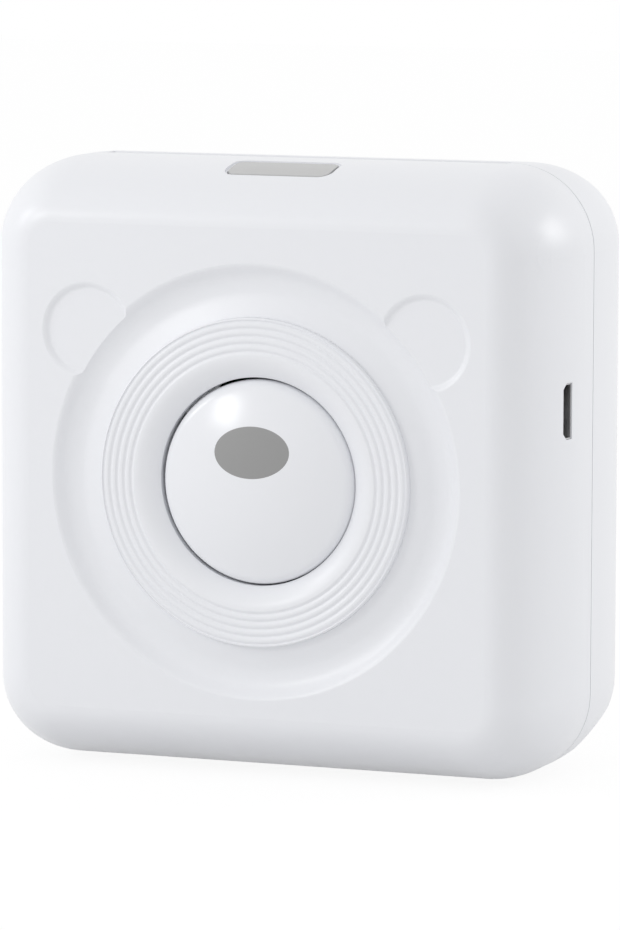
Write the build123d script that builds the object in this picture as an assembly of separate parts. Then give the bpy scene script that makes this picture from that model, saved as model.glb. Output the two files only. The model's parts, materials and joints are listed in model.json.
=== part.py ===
from build123d import *
import os
from math import asin, atan2, cos, degrees, pi, radians, sin

# Portable thermal printer: a square pillow-shaped body that stands on its lower edge.
# Millimetres. +Z is up, the front faces -Y, and the origin is at the bottom centre of the body.
# Depths are measured back from the front plane of the face.

# Driving dimensions of the casing
body_side = 83.2
body_depth = 40.0
corner_radius = 11.6
front_roll_inset = 8.4
front_roll_depth = 15.5
rear_roll_inset = 5.5
rear_roll_depth = 19.5
foot_cut = 0.2
wall = 2.0
inner_front_roll_inset = 6.8
inner_rear_roll_inset = 4.5
seam_depth = 19.18
seam_gap = 0.2
face_boss_radius = 31.0
face_boss_depth = 3.4

# Face: dished recess, ring, ears and round button
face_drop = 1.13
dish_radius = 29.4
dish_low_radius = 26.4
dish_low_depth = 1.5
dish_edge_depth = 0.65
ring_radius = 22.33
ring_crest_radius = 16.7
ring_proud = 0.3
ring_slope_depth = 1.5
ring_seat_depth = 2.2
groove_count = 5
groove_pitch = 1.03
groove_half_width = 0.36
groove_depth = 0.22
groove_first_radius = 17.8
ear_x = 24.4
ear_up = 18.6
ear_radius = 6.65
ear_depth = 0.5
ear_slope = 1.0
button_radius = 13.9
button_gap = 0.25
button_sphere = 36.0
button_crest_depth = -1.75
button_wall = 1.2
button_crown = 2.2
button_skirt = 0.9
button_edge_round = 1.5
button_tab_reach = 1.3
button_tab_gap = 0.1
button_tab_thickness = 0.8
button_tab_width = 6.0
button_tab_deg = (50, 130, 205, 335)
button_stem_radius = 1.7
nose_width = 10.8
nose_height = 7.0
nose_up = 4.3
nose_inlay = 0.35

# Power key in the top
key_x = 0.5
key_depth = 9.3
key_length = 14.7
key_width = 5.3
key_corner = 1.3
key_gap = 0.15
key_recess_reach = 0.5
key_recess_depth = 0.3
key_drop = 0.1
key_flange_reach = 1.0
key_flange_thickness = 0.8
key_flange_drop = 2.5

# Charging socket in the right side
port_depth = 10.3
port_up = 9.29
port_length = 7.6
port_width = 2.3
port_corner = 0.8
port_recess = 0.15
socket_length = 5.8
socket_wall = 0.18
socket_clearance = 0.05

# Paper roll and its compartment
roll_back_gap = 1.8
roll_length = 57.0
core_radius = 6.5
core_wall = 1.0
roll_depth = 21.2
roll_up = 20.0
bay_clearance = 0.9
bay_wall = 1.1
roll_end_gap = 0.4
hub_radius = 5.2
hub_length = 3.0
cheek = 1.2
bay_back_depth = 19.3
bay_rib_x = 14.0
bay_rib_thickness = 1.2
bay_rib_gap = 1.2

# Rear cover hinge
hinge_bead_radius = 1.45
hinge_pin_radius = 0.6
hinge_pin_length = 15.0
hinge_x = 22.0
hinge_lug_length = 8.0
hinge_side_gap = 0.25
hinge_turn_gap = 0.3
pin_clearance = 0.04

# Inner frame above the paper compartment
frame_wall_lead = 1.2
frame_wall_thickness = 1.0
frame_wall_top = 61.0
frame_pocket_top = 79.0
beam_depth = 9.6
beam_thickness = 1.2
beam_low = 67.5
beam_high = 72.6
screw_ear_x = 33.6
screw_ear_inset = 4.0
screw_ear_high = 40.0
screw_ear_depth = 14.0
screw_ear_thickness = 1.5
screw_ear_radius = 2.9
post_radius = 2.4
screw_radius = 1.0
screw_head_radius = 1.8
screw_head_thickness = 1.2
screw_bite = 6.0
screw_clearance = 0.05

# Print head and platen
print_line_up = 70.5
paper_line_depth = 19.9
platen_radius = 4.0
platen_half_length = 28.0
shaft_radius = 1.5
shaft_half_length = 34.4
head_gap = 0.3
head_plate_thickness = 1.4
head_half_width = 28.2
head_low = 63.0
head_high = 77.0
ceramic_half_width = 26.0
ceramic_low = 66.4
ceramic_high = 75.0
ceramic_thickness = 0.7
glaze_radius = 1.6
glaze_height = 0.3
head_pin_radius = 0.9
head_pin_up = 64.6
head_pin_reach = 1.5
spring_x = 16.0
spring_radius = 2.0
spring_wire = 0.4
spring_turns = 5
bush_radius = 2.6
bush_half_start = 29.6
bush_length = 1.8

# Drive gears on the left side
gear_module = 0.4
pinion_teeth = 9
large_teeth = 30
small_teeth = 11
idler_teeth = 26
platen_teeth = 25
gear_width = 1.6
gear_gap = 0.2
gear_plate_thickness = 0.8
gear_plate_reach = 5.6
gear_plate_lead = 2.3
gear_plate_step = 3.5
gear_pin_radius = 0.7
gear_pin_clearance = 0.05
idler_lean_deg = 263.8
large_lean_deg = 259.7
motor_radius = 7.0
motor_length = 11.5
motor_shaft_radius = 0.75
motor_pilot_radius = 2.5
motor_pilot_length = 0.5

# Cover release lever and catches
lever_depth = 6.6
lever_up = 72.0
lever_bar = 2.2
lever_half_length = 37.0
lever_pin_radius = 0.75
lever_pin_length = 1.3
lever_arm_thickness = 2.2
lever_tongue_width = 6.0
lever_tongue_thickness = 1.5
lever_tongue_end = 37.0
lever_stem_gap = 0.1
arm_low = 70.5
arm_high = 73.3
hook_front = 22.7
hook_back = 24.2
catch_depth = 21.6
catch_radius = 0.8
catch_gap = 0.3
catch_inner_x = 34.7
catch_boss_x = 37.9
boss_reach = 2.6
lever_boss_x = 37.3

# Bridge that carries the release spring
bridge_depth = 9.4
bridge_thickness = 1.4
spring_pocket_depth = 0.8
release_spring_radius = 2.6
release_spring_wire = 0.3
release_spring_turns = 3
bridge_half_length = 20.6
bridge_half_height = 4.2
bridge_post_x = 18.4
bridge_post_radius = 2.0

# Electronics
board_depth = 12.0
board_thickness = 1.0
board_left = -16.0
board_right = 37.4
board_low = 44.5
board_high = 61.0
board_screw_x = (-12.0, 33.0)
board_screw_up = 58.6
battery_left = -16.0
battery_right = 28.5
battery_low = 38.2
battery_high = 55.8
battery_gap = 0.3
battery_thickness = 5.0
battery_round = 1.2
switch_board_up = 74.2
switch_board_half_length = 13.2
switch_board_half_width = 4.2
switch_post_x = 11.0
switch_post_radius = 1.7
switch_size = 6.0
switch_plunger_radius = 1.5
switch_case_drop = 0.6
plunger_length = 1.2
flex_half_width = 9.0
flex_thickness = 0.25
flex_x = 8.0

# Rear cover inner pieces
guide_lag = 1.7
guide_thickness = 1.2
guide_low = 38.5
guide_high = 62.0
guide_half_width = 28.4
guide_rib_x = 18.0
bracket_reach = 3.0
bracket_lag = 7.6
bracket_low = 63.6
bracket_high = 77.0
bracket_thickness = 1.4
bracket_boss_x = 22.0
bracket_boss_radius = 3.2
slot_half_length = 29.4
slot_width = 1.5
slot_chamfer = 0.4
corner_flat_start = 24.0
corner_flat_tilt = 13.3
blade_thickness = 0.6
blade_height = 3.2
blade_tooth_pitch = 1.4
blade_tooth_height = 0.7

# Worked-out places
front_y = -(body_depth + button_crest_depth) / 2
mid_up = body_side / 2 - foot_cut
top_up = mid_up + body_side / 2
face_up = mid_up - face_drop
half_side = body_side / 2
inner_half = half_side - wall
front_edge = seam_depth - seam_gap / 2
rear_edge = seam_depth + seam_gap / 2
roll_radius = body_depth - wall - roll_back_gap - roll_depth
screw_ear_low = roll_up - roll_radius + screw_ear_inset
frame_wall_depth = paper_line_depth - frame_wall_lead
guide_depth = paper_line_depth + guide_lag
gear_plate_back = paper_line_depth - gear_plate_lead
hinge_depth = rear_edge + hinge_bead_radius
hinge_up = hinge_bead_radius + 0.05
cheek_inner = roll_length / 2 + roll_end_gap
cheek_outer = cheek_inner + cheek
platen_depth = paper_line_depth + platen_radius
bracket_front = platen_depth - bracket_reach
bracket_back = platen_depth + bracket_lag
head_back = paper_line_depth - head_gap - glaze_height - ceramic_thickness
head_front = head_back - head_plate_thickness
gear_plate_x = -cheek_outer - gear_plate_thickness
large_x = gear_plate_x - gear_gap - gear_width
small_x = large_x - gear_width
button_hollow_depth = button_crest_depth + button_crown + button_wall
stem_end = lever_depth - lever_tongue_thickness / 2 - lever_stem_gap


def deep(depth):
    """Y of a depth behind the face's front plane."""
    return front_y + depth


def block(x, depth, up):
    """Box between two x, two depths and two heights."""
    size = Box(x[1] - x[0], depth[1] - depth[0], up[1] - up[0])
    return Pos((x[0] + x[1]) / 2, deep((depth[0] + depth[1]) / 2), (up[0] + up[1]) / 2) * size


def rod_x(x0, x1, depth, up, radius):
    """Round bar along X."""
    return Pos((x0 + x1) / 2, deep(depth), up) * Rot(0, 90, 0) * Cylinder(radius, x1 - x0)


def rod_y(x, up, depth0, depth1, radius):
    """Round bar along Y."""
    return Pos(x, deep((depth0 + depth1) / 2), up) * Rot(90, 0, 0) * Cylinder(radius, depth1 - depth0)


def rod_z(x, depth, up0, up1, radius):
    """Upright round bar."""
    return Pos(x, deep(depth), (up0 + up1) / 2) * Cylinder(radius, up1 - up0)


def tube_x(x0, x1, depth, up, outer, inner):
    """Round tube along X."""
    return rod_x(x0, x1, depth, up, outer) - rod_x(x0 - 1, x1 + 1, depth, up, inner)


def both_sides(make):
    """The same feature at the left and at the right."""
    return [make(-1), make(1)]


def turned(edges, up=face_up):
    """Solid turned about the face's centre line from a closed outline of radius and depth."""
    outline = make_face(edges)
    return Pos(0, front_y, up) * revolve(outline, Axis.Y, 360)


def pillow(half, corner, front_inset, front_depth, rear_inset, rear_depth, start, end):
    """Rounded square between two depths, with edges that roll in at the front and the back."""
    edges = [
        Line((0, start), (corner - front_inset, start)),
        EllipticalCenterArc((corner - front_inset, start + front_depth), front_inset, front_depth, 270, arc_size=90),
        Line((corner, start + front_depth), (corner, end - rear_depth)),
        EllipticalCenterArc((corner - rear_inset, end - rear_depth), rear_inset, rear_depth, 0, arc_size=90),
        Line((corner - rear_inset, end), (0, end)),
        Line((0, end), (0, start)),
    ]
    outline = make_face(edges)
    centre = half - corner
    quarter = Pos(centre, 0, -centre) * revolve(outline, Axis.Y, 90)
    side = Pos(centre, 0, -centre) * extrude(outline, amount=2 * centre, dir=(0, 0, 1))
    solid = Pos(0, (start + end) / 2, 0) * Box(2 * centre, end - start, 2 * centre)
    for turn in range(4):
        solid = solid + Rot(0, 90 * turn, 0) * side
        solid = solid + Rot(0, 90 * turn, 0) * quarter
    return Pos(0, front_y, mid_up) * solid


def outer_pillow():
    """The whole casing's outer form, planed flat where it stands."""
    whole = pillow(half_side, corner_radius, front_roll_inset, front_roll_depth,
                   rear_roll_inset, rear_roll_depth, 0, body_depth)
    return whole - block((-half_side, half_side), (-1, body_depth + 1), (-wall, 0))


def inner_pillow():
    """The hollow inside the casing."""
    return pillow(inner_half, corner_radius - wall, inner_front_roll_inset, front_roll_depth - wall,
                  inner_rear_roll_inset, rear_roll_depth - wall, wall, body_depth - wall)


def dish_cut():
    """Moat round the ring: a steep rounded drop at the rim, low in the middle, rising to the ring."""
    seat = ring_radius + 0.02
    return turned([
        Line((0, -1), (dish_radius + 0.25, -1)),
        Line((dish_radius + 0.25, -1), (dish_radius + 0.25, 0)),
        Spline((dish_radius + 0.25, 0), (dish_radius - 0.35, 0.28), (dish_radius - 1.2, 1.0),
               (dish_low_radius, dish_low_depth), (seat, dish_edge_depth),
               tangents=[(-1, 0.12), (-1, -0.28)]),
        Line((seat, dish_edge_depth), (seat, ring_seat_depth)),
        Line((seat, ring_seat_depth), (0, ring_seat_depth)),
        Line((0, ring_seat_depth), (0, -1)),
    ])


def ear_cut(side):
    """Shallow round recess outside the dish's rim, with a soft slope down to its flat floor."""
    low = ear_radius - ear_slope
    tool = turned([
        Line((0, -1), (ear_radius, -1)),
        Line((ear_radius, -1), (ear_radius, 0)),
        Spline((ear_radius, 0), ((ear_radius + low) / 2, ear_depth / 2), (low, ear_depth),
               tangents=[(-1, 0.15), (-1, 0)]),
        Line((low, ear_depth), (0, ear_depth)),
        Line((0, ear_depth), (0, -1)),
    ], mid_up + ear_up)
    return Pos(side * ear_x, 0, 0) * tool


def key_outline(grow):
    """Rounded rectangle of the power key, larger by a margin."""
    size = RectangleRounded(key_length + 2 * grow, key_width + 2 * grow, key_corner + grow)
    return Pos(key_x, deep(key_depth), 0) * size


def key_prism(grow, low, high):
    """The key's outline between two heights."""
    return Pos(0, 0, low) * extrude(key_outline(grow), amount=high - low, dir=(0, 0, 1))


def port_cut():
    """Opening for the charging plug, with cut corners on its front side."""
    up = mid_up + port_up
    half = port_length / 2
    front = port_depth - port_width / 2
    back = port_depth + port_width / 2
    outline = Polyline((deep(back), up - half), (deep(back), up + half),
                       (deep(front + port_corner), up + half), (deep(front), up + half - port_corner),
                       (deep(front), up - half + port_corner), (deep(front + port_corner), up - half),
                       (deep(back), up - half))
    face = Plane.YZ * make_face(outline.edges())
    return extrude(Pos(inner_half - 3, 0, 0) * face, amount=wall + 6, dir=(1, 0, 0))


def lower_lip_cut():
    """What the cover's lower edge gives up so that it is round about the hinge axis."""
    lip = block((-half_side, half_side), (seam_depth - 1, hinge_depth), (-1, hinge_up))
    return lip - rod_x(-half_side, half_side, hinge_depth, hinge_up, hinge_bead_radius)


def screw_places():
    """Places of the four screws that hold the inner frame."""
    return [(side * screw_ear_x, up) for side in (-1, 1) for up in (screw_ear_low, screw_ear_high)]


def front_shell():
    """Front half of the casing with the face, the key's opening and the posts inside."""
    shell = outer_pillow() - inner_pillow()
    boss = rod_y(0, face_up, wall - 0.5, face_boss_depth, face_boss_radius)
    shell = shell + (boss & outer_pillow())
    for x, up in screw_places():
        shell = shell + rod_y(x, up, wall - 0.3, screw_ear_depth, post_radius)
    for x in board_screw_x:
        shell = shell + rod_y(x, board_screw_up, wall - 0.3, board_depth, post_radius)
    for side in (-1, 1):
        shell = shell + rod_y(side * bridge_post_x, face_up, wall - 0.3, bridge_depth, bridge_post_radius)
        inner, outer = sorted((side * lever_boss_x, side * (inner_half + 0.4)))
        shell = shell + rod_x(inner, outer, lever_depth, lever_up, boss_reach)
        post = rod_z(side * switch_post_x, key_depth, switch_board_up + board_thickness, top_up - wall,
                     switch_post_radius)
        shell = shell + post
    shell = shell & outer_pillow()
    shell = shell - block((-50, 50), (front_edge, body_depth + 1), (-2, top_up + 1))
    shell = shell - dish_cut()
    shell = shell - both_sides(ear_cut)
    shell = shell - rod_y(0, face_up, -1, face_boss_depth + 1, button_radius + button_gap)
    shell = shell - key_prism(key_gap, top_up - 8, top_up + 1)
    shallow = key_prism(key_recess_reach, top_up - 8, top_up + 1)
    skin = outer_pillow() - Pos(0, 0, -key_recess_depth) * outer_pillow()
    shell = shell - (shallow & skin)
    shell = shell - port_cut()
    for x, up in screw_places():
        shell = shell - rod_y(x, up, screw_ear_depth - screw_bite, screw_ear_depth + 1,
                              screw_radius + screw_clearance)
    for x in board_screw_x:
        shell = shell - rod_y(x, board_screw_up, board_depth - screw_bite, board_depth + 1,
                              screw_radius + screw_clearance)
    for side in (-1, 1):
        shell = shell - rod_y(side * bridge_post_x, face_up, bridge_depth - 4, bridge_depth + 1,
                              screw_radius + screw_clearance)
        inner, outer = sorted((side * (lever_boss_x - 1), side * (lever_half_length + lever_pin_length + 0.2)))
        shell = shell - rod_x(inner, outer, lever_depth, lever_up, lever_pin_radius + pin_clearance)
        shell = shell - rod_z(side * switch_post_x, key_depth, switch_board_up, switch_board_up + 5,
                              screw_radius + screw_clearance)
        shell = shell + hinge_lug(side)
    shell = shell - block((-slot_half_length, slot_half_length), (front_edge - blade_thickness, front_edge + 1),
                          (top_up - blade_height, top_up + 1))
    return shell


def hinge_lug(side):
    """Knuckle on the front shell's lower edge, bored for a pin."""
    x0 = side * hinge_x - hinge_lug_length / 2
    x1 = side * hinge_x + hinge_lug_length / 2
    lug = rod_x(x0, x1, hinge_depth, hinge_up, hinge_bead_radius)
    lug = lug + block((x0, x1), (front_edge - wall, hinge_depth), (hinge_up - hinge_pin_radius, wall + 0.6))
    return lug - rod_x(x0 - 1, x1 + 1, hinge_depth, hinge_up, hinge_pin_radius + pin_clearance)


def rear_cover():
    """Rear half of the casing, hinged at its lower edge, with ribs behind the roll."""
    shell = outer_pillow() - inner_pillow()
    for side in (-1, 1):
        x = side * bay_rib_x
        rib = block((x - bay_rib_thickness / 2, x + bay_rib_thickness / 2), (roll_depth + 4, body_depth - 1),
                    (wall - 0.5, roll_up + roll_radius))
        rib = rib - rod_x(x - 1, x + 1, roll_depth, roll_up, roll_radius + bay_rib_gap)
        shell = shell + rib
        shell = shell + rod_y(side * bracket_boss_x, print_line_up, bracket_back, body_depth - 1,
                              bracket_boss_radius)
        inner, outer = sorted((side * catch_boss_x, side * (inner_half + 0.4)))
        shell = shell + rod_x(inner, outer, catch_depth, catch_up(), boss_reach)
        for up in (guide_low + 3, guide_high - 3):
            shell = shell + rod_y(side * guide_rib_x, up, guide_depth + guide_thickness, body_depth - 1,
                                  post_radius)
    bead = rod_x(-(half_side - corner_radius), half_side - corner_radius, hinge_depth, hinge_up,
                 hinge_bead_radius)
    shell = (shell + bead) & outer_pillow()
    shell = shell - block((-50, 50), (-1, rear_edge), (-2, top_up + 1))
    shell = shell - lower_lip_cut()
    for side in (-1, 1):
        x0 = side * hinge_x - hinge_lug_length / 2 - hinge_side_gap
        x1 = side * hinge_x + hinge_lug_length / 2 + hinge_side_gap
        reach = hinge_bead_radius + hinge_turn_gap
        shell = shell - rod_x(x0, x1, hinge_depth, hinge_up, reach)
        shell = shell - block((x0, x1), (seam_depth - 1, hinge_depth), (-1, hinge_up + reach))
        shell = shell - rod_x(side * hinge_x - hinge_pin_length / 2 - 0.2,
                              side * hinge_x + hinge_pin_length / 2 + 0.2,
                              hinge_depth, hinge_up, hinge_pin_radius + pin_clearance)
        inner, outer = sorted((side * (catch_inner_x - 1), side * (inner_half - 0.2)))
        shell = shell - rod_x(inner, outer, catch_depth, catch_up(), catch_radius + 0.01)
        shell = shell - rod_y(side * bracket_boss_x, print_line_up, bracket_back - 1,
                              bracket_back + screw_bite, screw_radius + screw_clearance)
        for up in (guide_low + 3, guide_high - 3):
            shell = shell - rod_y(side * guide_rib_x, up, guide_depth, guide_depth + guide_thickness + 5,
                                  screw_radius + screw_clearance)
    shell = shell - block((-slot_half_length, slot_half_length), (rear_edge - 1, rear_edge + slot_width),
                          (top_up - wall - 2, top_up + 1))
    lead = Plane.YZ * make_face(Polyline(
        (deep(rear_edge + slot_width), top_up - slot_chamfer), (deep(rear_edge + slot_width + slot_chamfer), top_up),
        (deep(rear_edge + slot_width), top_up + 1), (deep(rear_edge + slot_width - 1), top_up + 1),
        (deep(rear_edge + slot_width - 1), top_up - slot_chamfer),
        (deep(rear_edge + slot_width), top_up - slot_chamfer)).edges())
    shell = shell - extrude(Pos(-slot_half_length, 0, 0) * lead, amount=2 * slot_half_length, dir=(1, 0, 0))
    return shell - both_sides(corner_flat)


def corner_flat(side):
    """What a slanted flat takes off the cover's lower corner, towards the back."""
    reach = 2 ** 0.5 * (half_side - corner_radius) + corner_radius
    tool = Pos(reach + 5, 0, 0) * Box(10, 80, 30)
    tool = Pos(reach, deep(corner_flat_start), 0) * Rot(0, 0, corner_flat_tilt) * Pos(-reach, 0, 0) * tool
    turn = 45 if side > 0 else 135
    return Pos(0, 0, mid_up) * Rot(0, turn, 0) * tool


def catch_up():
    """Height of the catch pins, under the lever's arms."""
    return arm_low - catch_gap - catch_radius


def button_ring():
    """Grooved ring that frames the button: fine grooves, a crest and a smooth slope to the button."""
    slope_middle = (ring_crest_radius + button_radius + button_gap) / 2
    slope_fall = ring_slope_depth + ring_proud
    outline = [
        Line((button_radius + button_gap, ring_seat_depth), (ring_radius, ring_seat_depth)),
        Line((ring_radius, ring_seat_depth), (ring_radius, 0)),
        ThreePointArc((ring_radius, 0), (ring_radius - 0.1, -ring_proud + 0.1),
                      (ring_radius - ring_proud, -ring_proud)),
        Line((ring_radius - ring_proud, -ring_proud), (ring_crest_radius, -ring_proud)),
        Spline((ring_crest_radius, -ring_proud), (slope_middle, -ring_proud + slope_fall / 5),
               (button_radius + button_gap, ring_slope_depth), tangents=[(-1, 0), (-0.5, 1)]),
        Line((button_radius + button_gap, ring_slope_depth), (button_radius + button_gap, ring_seat_depth)),
    ]
    ring = turned(outline)
    for groove in range(groove_count):
        radius = groove_first_radius + groove * groove_pitch
        channel = turned([
            Line((radius - groove_half_width, -ring_proud - 0.1), (radius + groove_half_width, -ring_proud - 0.1)),
            ThreePointArc((radius + groove_half_width, -ring_proud - 0.1), (radius, groove_depth - ring_proud),
                          (radius - groove_half_width, -ring_proud - 0.1)),
        ])
        ring = ring - channel
    return ring


def dome_corner():
    """Radius at which the button's spherical front passes into its rounded edge."""
    return (button_radius - button_edge_round) / (1 - button_edge_round / button_sphere)


def dome_depth(radius):
    """Depth of the button's domed front, a spherical cap, at a radius from its centre."""
    return button_crest_depth + button_sphere - (button_sphere ** 2 - radius ** 2) ** 0.5


def dome(drop):
    """Solid under the button's domed front, back to the face wall, lowered by a drop."""
    corner = dome_corner()
    lean = asin(corner / button_sphere)
    crest = button_crest_depth + drop
    edge = dome_depth(corner) + drop
    centre = (button_radius - button_edge_round, edge + button_edge_round * cos(lean))
    middle = (lean + pi / 2) / 2
    bulge = (centre[0] + button_edge_round * sin(middle), centre[1] - button_edge_round * cos(middle))
    return turned([
        Line((0, crest), (0, face_boss_depth)),
        Line((0, face_boss_depth), (button_radius, face_boss_depth)),
        Line((button_radius, face_boss_depth), (button_radius, centre[1])),
        ThreePointArc((button_radius, centre[1]), bulge, (corner, edge)),
        ThreePointArc((corner, edge), (corner / 2, dome_depth(corner / 2) + drop), (0, crest)),
    ])


def nose_prism():
    """Upright oval prism of the plain mark on the button."""
    oval = Pos(0, nose_up) * Ellipse(nose_width / 2, nose_height / 2)
    face = Plane.XZ * oval
    return Pos(0, deep(button_hollow_depth), face_up) * extrude(face, amount=8, dir=(0, -1, 0))


def cover_button():
    """Round domed button with a skirt, a retaining flange and a stem to the release lever."""
    cap = dome(0)
    hollow = rod_y(0, face_up, button_hollow_depth, face_boss_depth + 2, button_radius - button_skirt)
    cap = cap - hollow
    skirt = rod_y(0, face_up, face_boss_depth - 0.1, face_boss_depth + button_tab_gap, button_radius)
    tab_end = face_boss_depth + button_tab_gap + button_tab_thickness
    ring = rod_y(0, face_up, face_boss_depth + button_tab_gap, tab_end, button_radius + button_tab_reach)
    ring = ring - hollow
    cap = cap + (skirt - hollow)
    for turn in button_tab_deg:
        bar = Box(button_radius + 5, 10, button_tab_width)
        bar = Pos((button_radius + 5) / 2 + button_stem_radius, deep(face_boss_depth), 0) * bar
        tab = ring & (Pos(0, 0, face_up) * Rot(0, -turn, 0) * bar)
        cap = cap + tab + (skirt - hollow)
    cap = cap + rod_y(0, face_up, button_hollow_depth - 1, stem_end, button_stem_radius)
    for turn in range(4):
        rib = Box(button_radius - 1, 1.0, 1.0)
        rib = Pos((button_radius - 1) / 2 + 0.2, deep(button_hollow_depth + 0.3), 0) * rib
        cap = cap + Pos(0, 0, face_up) * Rot(0, 45 + 90 * turn, 0) * rib
    return cap - nose_mark()


def nose_mark():
    """Plain oval inlay, flush with the button's dome."""
    skin = dome(0) - dome(nose_inlay)
    return nose_prism() & skin


def power_key():
    """Key that follows the casing's top surface, with a flange that keeps it in."""
    under = top_up - wall - key_flange_drop
    key = key_prism(0, under, top_up + 1) & (Pos(0, 0, -key_drop) * outer_pillow())
    return key + key_prism(key_flange_reach, under - key_flange_thickness, under)


def usb_socket():
    """Metal shell of the charging socket with its contact tongue."""
    up = mid_up + port_up
    half_up = port_length / 2 - socket_clearance
    half_depth = port_width / 2 - socket_clearance
    mouth = half_side
    span = (mouth - socket_length, mouth)
    outer = block(span, (port_depth - half_depth, port_depth + half_depth), (up - half_up, up + half_up))
    front = outer.edges().filter_by(Axis.X).group_by(Axis.Y)[0]
    outer = chamfer(front, port_corner - 0.1)
    inner = block((span[0] + 1.0, span[1] + 1), (port_depth - half_depth + socket_wall,
                  port_depth + half_depth - socket_wall), (up - half_up + socket_wall, up + half_up - socket_wall))
    front = inner.edges().filter_by(Axis.X).group_by(Axis.Y)[0]
    shell = outer - chamfer(front, port_corner - 0.2)
    shell = shell & (Pos(-port_recess, 0, 0) * outer_pillow())
    tongue = block((span[0] + 0.5, mouth - 1.9), (port_depth + 0.05, port_depth + 0.65), (up - 1.9, up + 1.9))
    return shell + tongue


def main_board():
    """Circuit board that reaches the charging socket."""
    board = block((board_left, board_right), (board_depth, board_depth + board_thickness), (board_low, board_high))
    for x in board_screw_x:
        board = board - rod_y(x, board_screw_up, board_depth - 1, board_depth + 2, screw_radius + 0.2)
    return board


def board_chips():
    """Chips and coils soldered on the board's front face."""
    places = [
        ((12, 20), 1.1, (47.5, 55.5)),
        ((23, 27), 1.4, (48, 52)),
        ((-10, -5), 0.9, (47, 51)),
        ((-13, -9.5), 1.2, (53, 55.5)),
        ((5, 9), 0.8, (56.5, 59)),
        ((24, 27), 0.9, (55.5, 57.5)),
    ]
    return [block(x, (board_depth - high, board_depth), up) for x, high, up in places]


def flex_connector():
    """Connector on the board's back that takes the print head's ribbon."""
    depth = board_depth + board_thickness
    return block((flex_x - flex_half_width - 1, flex_x + flex_half_width + 1), (depth, depth + 1.4), (57.0, 60.8))


def head_ribbon():
    """Flat ribbon from the connector up to the print head's plate."""
    start = (board_depth + board_thickness + 0.7, 60.8)
    path = FilletPolyline((deep(start[0]), start[1]), (deep(start[0]), 62.6), (deep(head_front - 0.5), 65.0),
                          (deep(head_front - 0.5), 68.0), radius=1.2)
    path = Plane.YZ * path
    section = Plane(origin=path @ 0, z_dir=path % 0, x_dir=(1, 0, 0)) * Rectangle(2 * flex_half_width, flex_thickness)
    return Pos(flex_x, 0, 0) * sweep(section, path=path)


def battery():
    """Flat pouch cell behind the board."""
    depth = board_depth + board_thickness + battery_gap
    cell = block((battery_left, battery_right), (depth, depth + battery_thickness), (battery_low, battery_high))
    return fillet(cell.edges().filter_by(Axis.X), battery_round)


def switch_board():
    """Small board under the power key."""
    board = block((-switch_board_half_length, switch_board_half_length),
                  (key_depth - switch_board_half_width, key_depth + switch_board_half_width),
                  (switch_board_up, switch_board_up + board_thickness))
    for side in (-1, 1):
        board = board - rod_z(side * switch_post_x, key_depth, switch_board_up - 1, switch_board_up + 2,
                              screw_radius + 0.2)
    return board


def switch_top():
    """Height of the power key's lower face."""
    return top_up - wall - key_flange_drop - key_flange_thickness


def power_switch():
    """Body of the push switch under the power key."""
    low = switch_board_up + board_thickness
    top = switch_top() - switch_case_drop
    half = switch_size / 2
    body = block((key_x - half, key_x + half), (key_depth - half, key_depth + half), (low, top))
    return body - rod_z(key_x, key_depth, top - plunger_length, top + 1, switch_plunger_radius + pin_clearance)


def switch_plunger():
    """Plunger that the power key pushes into the switch."""
    top = switch_top()
    return rod_z(key_x, key_depth, top - plunger_length, top, switch_plunger_radius)


def inner_frame():
    """Moulded frame: half-round paper bay, paper wall, head pocket and screw ears."""
    bay_inner = roll_radius + bay_clearance
    frame = tube_x(-cheek_outer, cheek_outer, roll_depth, roll_up, bay_inner + bay_wall, bay_inner)
    for side in (-1, 1):
        inner, outer = sorted((side * cheek_inner, side * cheek_outer))
        frame = frame + rod_x(inner, outer, roll_depth, roll_up, bay_inner + bay_wall)
    frame = frame - block((-50, 50), (bay_back_depth, 2 * body_depth), (-5, 60))
    frame = frame - block((-50, 50), (front_edge - wall - 1, body_depth), (-5, wall + 2))
    for side in (-1, 1):
        inner, outer = sorted((side * (cheek_inner - hub_length), side * cheek_outer))
        frame = frame + rod_x(inner, outer, roll_depth, roll_up, hub_radius)
    low = roll_up + bay_inner
    wall_back = frame_wall_depth + frame_wall_thickness
    frame = frame + block((-cheek_outer, cheek_outer), (frame_wall_depth, wall_back), (low - 0.3, frame_wall_top))
    for side in (-1, 1):
        inner, outer = sorted((side * cheek_inner, side * cheek_outer))
        frame = frame + block((inner, outer), (beam_depth, wall_back), (low - 2, frame_pocket_top))
    frame = frame + block((-cheek_outer, cheek_outer), (beam_depth, beam_depth + beam_thickness),
                          (beam_low, beam_high))
    frame = frame - rod_x(-cheek_outer - 1, -cheek_inner + 2, motor_place()[0], motor_place()[1],
                          motor_radius + 0.3)
    board_room = (board_depth - 3, board_depth + board_thickness + 0.4)
    frame = frame - block((battery_right - 0.5, board_right + 3), board_room, (board_low - 0.5, board_high + 1))
    for x, up in screw_places():
        side = 1 if x > 0 else -1
        inner, outer = sorted((side * (cheek_inner + 0.1), x))
        depth = (screw_ear_depth, screw_ear_depth + screw_ear_thickness)
        ear = block((inner, outer), depth, (up - screw_ear_radius, up + screw_ear_radius))
        ear = ear + rod_y(x, up, *depth, screw_ear_radius)
        frame = frame + ear
        frame = frame - rod_y(x, up, screw_ear_depth - 1, screw_ear_depth + 4, screw_radius + 0.2)
    for side in (-1, 1):
        inner, outer = sorted((side * (cheek_inner - 0.5), side * (cheek_outer + 0.5)))
        frame = frame - rod_x(inner, outer, head_pin_depth(), head_pin_up, head_pin_radius + pin_clearance)
        frame = frame + rod_y(side * spring_x, print_line_up, beam_depth + 1, beam_depth + beam_thickness + 1.2,
                              spring_radius - spring_wire - 0.15)
    return frame - sensor_box(0.15)


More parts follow.
